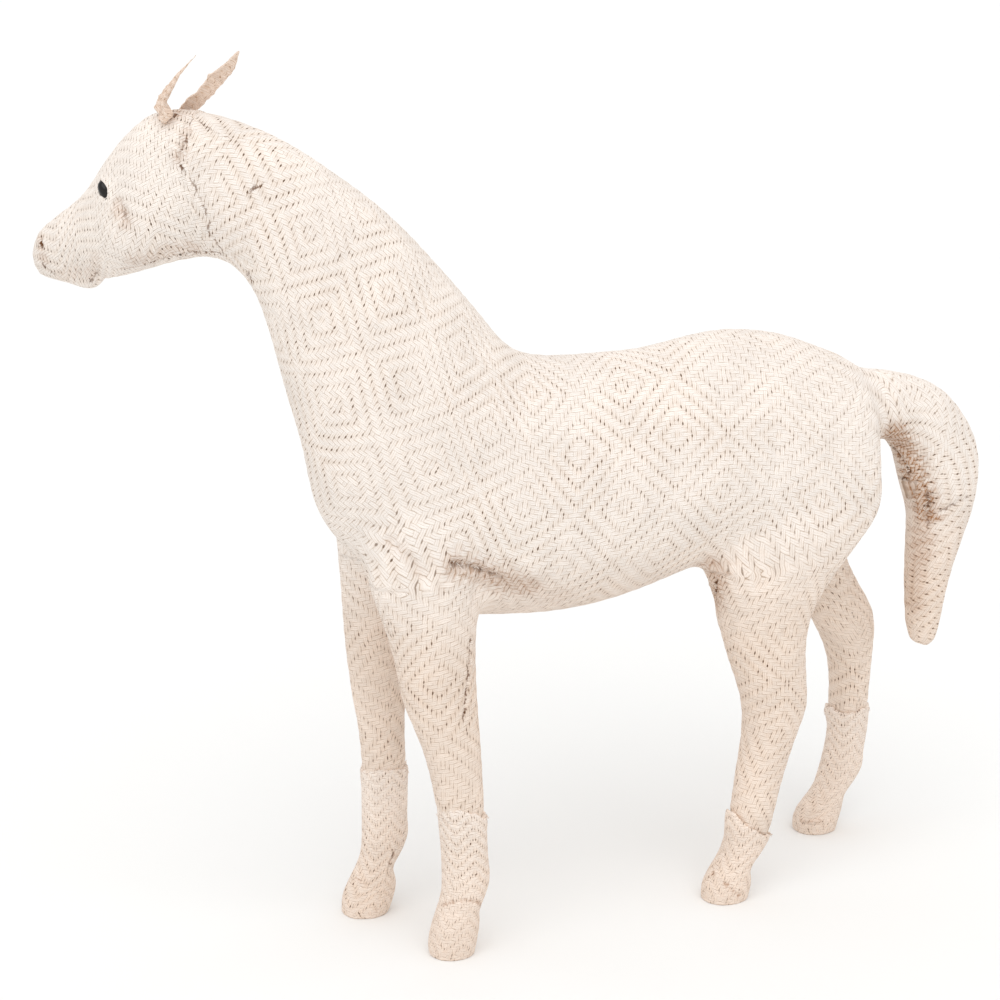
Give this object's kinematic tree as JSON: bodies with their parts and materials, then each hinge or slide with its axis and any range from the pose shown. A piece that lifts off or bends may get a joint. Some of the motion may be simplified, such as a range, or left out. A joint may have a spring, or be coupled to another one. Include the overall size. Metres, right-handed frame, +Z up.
{
  "type": "paper horse statue",
  "caption": "Standing horse figure with a skin of woven paper strands, sewn head cover, lower-leg sleeves, leaf ears and glass eyes; stands on its hooves.",
  "frame": {"origin": "on the floor, under the middle of the figure's box", "axes": "+Z up, the horse faces -X, its left side is towards -Y"},
  "size_m": [0.7618, 0.2484, 0.7025],
  "materials": {
    "woven_paper": "matt natural cream twisted paper strand in a diamond twill weave",
    "sleeve_paper": "matt natural cream twisted paper strand in a plain twill weave",
    "ear_paper": "matt tan woven paper",
    "eye_glass": "polished opaque black"
  },
  "bodies": {
    "root": {"body": "woven_paper", "head": "woven_paper", "left_fore_sleeve": "sleeve_paper", "right_fore_sleeve": "sleeve_paper", "left_hind_sleeve": "sleeve_paper", "right_hind_sleeve": "sleeve_paper", "left_ear": "ear_paper", "right_ear": "ear_paper", "left_eye": "eye_glass", "right_eye": "eye_glass"}
  },
  "joints": []
}
